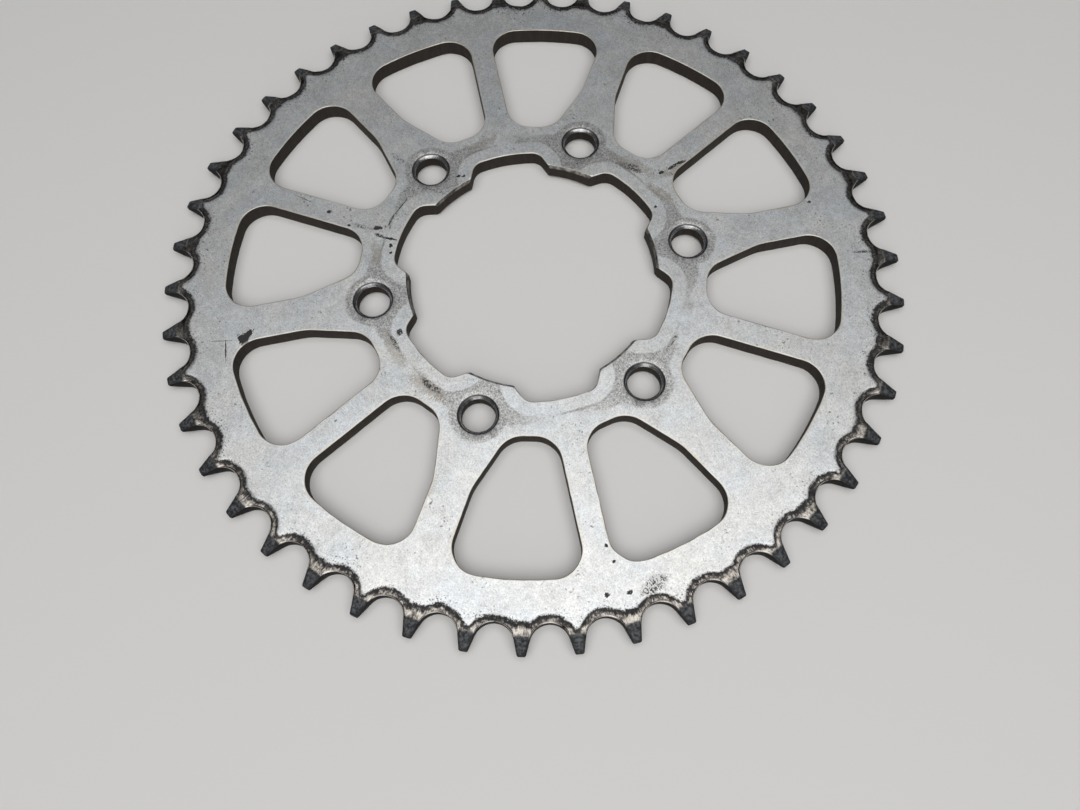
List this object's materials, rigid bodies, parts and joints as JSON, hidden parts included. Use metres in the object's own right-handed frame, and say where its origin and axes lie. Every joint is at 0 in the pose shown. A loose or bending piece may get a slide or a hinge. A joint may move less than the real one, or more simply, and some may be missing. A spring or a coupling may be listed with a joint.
{
  "type": "rear drive sprocket",
  "caption": "Flat one-piece steel chain sprocket with paired lightening windows, a relieved pilot bore and a ring of chamfered bolt holes.",
  "frame": {"origin": "centre of the bore on the underside, the face that seats on the hub carrier", "axes": "+Z along the bore axis, out of the face that the bolt heads or nuts bear on; +Y through one bolt hole, which lies in line with a tooth gap"},
  "size_m": [0.2394, 0.239, 0.0058],
  "materials": {
    "steel": "worn satin silver plating, bare and stained where the chain ran"
  },
  "bodies": {
    "root": {"sprocket_plate": "steel"}
  },
  "joints": []
}
